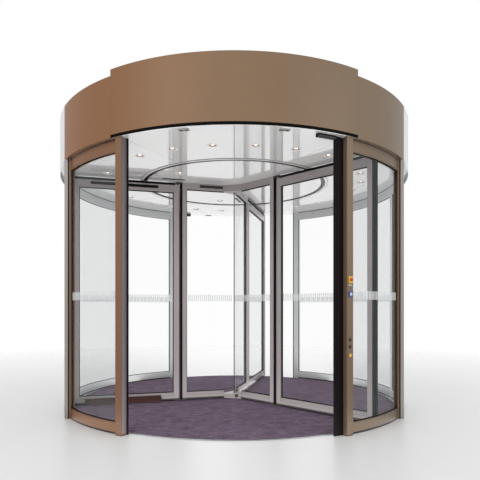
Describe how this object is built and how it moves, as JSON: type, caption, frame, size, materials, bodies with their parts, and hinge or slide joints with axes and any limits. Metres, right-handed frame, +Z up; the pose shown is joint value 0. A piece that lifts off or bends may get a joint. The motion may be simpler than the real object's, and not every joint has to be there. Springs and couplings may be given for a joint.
{
  "type": "revolving door",
  "caption": "Large automatic revolving door: glazed steel drum under a tall canopy, with a three-wing rotor whose outer leaves fold on pivots, ceiling lights, sensors and an entrance mat.",
  "frame": {"origin": "on the rotor's vertical axis, at floor level", "axes": "+Z up, -Y towards the lobby, +Y towards the street, +X to the right seen from the lobby"},
  "size_m": [4.3998, 4.4, 3.506],
  "materials": {
    "bronze_satin": "satin anodised",
    "rotor_satin": "satin anodised",
    "clear_glass": "clear",
    "ceiling_gloss": "gloss",
    "lamp": "gloss",
    "black_rubber": "matt",
    "bumper_brown": "matt",
    "sensor_black": "gloss",
    "vent_black": "matt",
    "mat_fabric": "ribbed",
    "steel_trim": "brushed",
    "frame_steel": "primer",
    "roof_metal": "matt",
    "stop_yellow": "satin",
    "stop_red": "satin",
    "access_blue": "satin",
    "key_brass": "worn",
    "frosted_band": "frosted film"
  },
  "bodies": {
    "drum": {"access_button": "access_blue", "canopy_frame": "frame_steel", "canopy_roof": "roof_metal", "doorway_sensors": "sensor_black", "drive_bridge": "frame_steel", "emergency_stop": "stop_yellow", "entrance_mat": "mat_fabric", "facade_posts": "bronze_satin", "fascia_lobby_sides": "bronze_satin", "fascia_street_sides": "bronze_satin", "floor_pivot": "steel_trim", "head_rails": "bronze_satin", "key_switches": "key_brass", "kick_rails": "bronze_satin", "lobby_posts": "bronze_satin", "raised_fascias": "bronze_satin", "safety_bumpers": "black_rubber", "sensor_bars": "sensor_black", "soffit_downlights": "lamp", "soffit_panels": "ceiling_gloss", "soffit_trim_ring": "ceiling_gloss", "street_posts": "bronze_satin", "vent_louvres": "vent_black", "wall_glass": "clear_glass", "wall_mullions": "bronze_satin"},
    "rotor": {"ceiling_disc": "ceiling_gloss", "disc_downlights": "lamp", "rotor_shaft": "steel_trim", "hub_top": "rotor_satin", "hub_bottom": "rotor_satin", "inner_frame_a": "rotor_satin", "inner_frame_b": "rotor_satin", "inner_frame_c": "rotor_satin", "inner_glass": "clear_glass", "inner_seals": "black_rubber", "presence_sensors": "sensor_black"},
    "leaf_a": {"leaf_frame_a": "rotor_satin", "leaf_glass_a": "clear_glass", "leaf_seals_a": "black_rubber", "leaf_safety_a": "bumper_brown"},
    "leaf_b": {"leaf_frame_b": "rotor_satin", "leaf_glass_b": "clear_glass", "leaf_seals_b": "black_rubber", "leaf_safety_b": "bumper_brown"},
    "leaf_c": {"leaf_frame_c": "rotor_satin", "leaf_glass_c": "clear_glass", "leaf_seals_c": "black_rubber", "leaf_safety_c": "bumper_brown"}
  },
  "joints": [
    {"name": "rotor_spin", "type": "hinge", "parent": "drum", "child": "rotor", "pos_m": [0, 0, 0], "axis": [0, 0, 1], "continuous": true},
    {"name": "leaf_fold_a", "type": "hinge", "parent": "rotor", "child": "leaf_a", "pos_m": [-0.73621, -0.20417, 0], "axis": [0, 0, 1], "range_deg": [0, 90]},
    {"name": "leaf_fold_b", "type": "hinge", "parent": "rotor", "child": "leaf_b", "pos_m": [0.54492, -0.5355, 0], "axis": [0, 0, 1], "range_deg": [0, 90]},
    {"name": "leaf_fold_c", "type": "hinge", "parent": "rotor", "child": "leaf_c", "pos_m": [0.19129, 0.73967, 0], "axis": [0, 0, 1], "range_deg": [0, 90]}
  ]
}
